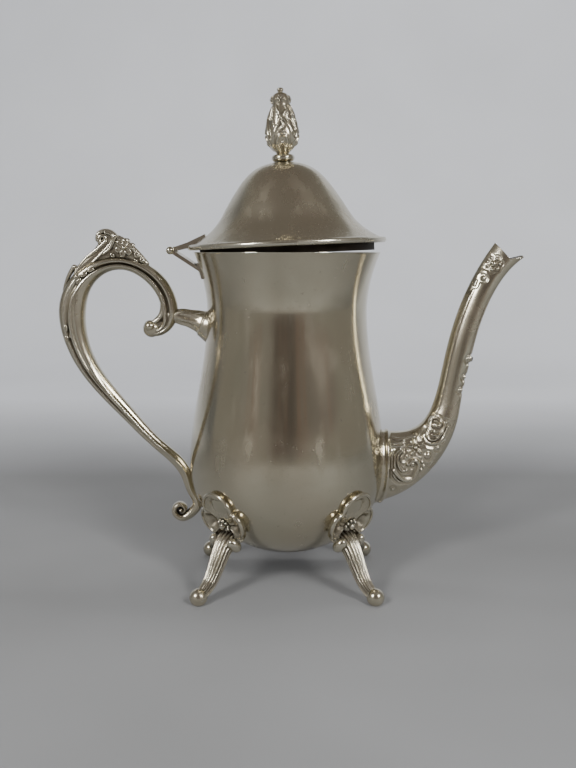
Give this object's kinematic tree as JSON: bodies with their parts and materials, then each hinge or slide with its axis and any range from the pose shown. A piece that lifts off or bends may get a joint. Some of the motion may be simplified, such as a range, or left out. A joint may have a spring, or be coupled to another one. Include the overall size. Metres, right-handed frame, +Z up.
{
  "type": "coffee pot",
  "caption": "Pear-shaped metal coffee pot on four ball feet, with a hinged domed lid, bud finial, swan-neck spout and scroll handle with floral ornament.",
  "frame": {"origin": "on the table, under the axis of the body, at the middle of the circle through the feet", "axes": "+Z up along the body's axis, +X towards the spout, +Y away from the side seen in the picture"},
  "size_m": [0.2362, 0.101, 0.2534],
  "materials": {
    "plated_sheet": "polished silver plate, lightly tarnished",
    "plated_casting": "polished silver plate, dark in the recesses",
    "fastener": "turned, dull"
  },
  "bodies": {
    "pot": {"body_shell": "plated_sheet", "spout_near": "plated_casting", "spout_far": "plated_casting", "handle": "plated_casting", "foot_front_left": "plated_casting", "foot_front_right": "plated_casting", "foot_rear_left": "plated_casting", "foot_rear_right": "plated_casting", "hinge_bracket": "plated_casting", "hinge_pin": "plated_casting"},
    "lid": {"lid_dome": "plated_sheet", "lid_bezel": "plated_sheet", "lid_hinge_strap": "plated_casting", "finial": "plated_casting", "finial_collar": "plated_casting", "finial_stud": "fastener", "finial_washer": "fastener", "finial_nut": "fastener"}
  },
  "joints": [
    {"name": "lid_hinge", "type": "hinge", "parent": "pot", "child": "lid", "pos_m": [-0.0586, 0, 0.1723], "axis": [0, -1, 0], "range_deg": [-2.5, 105]}
  ]
}
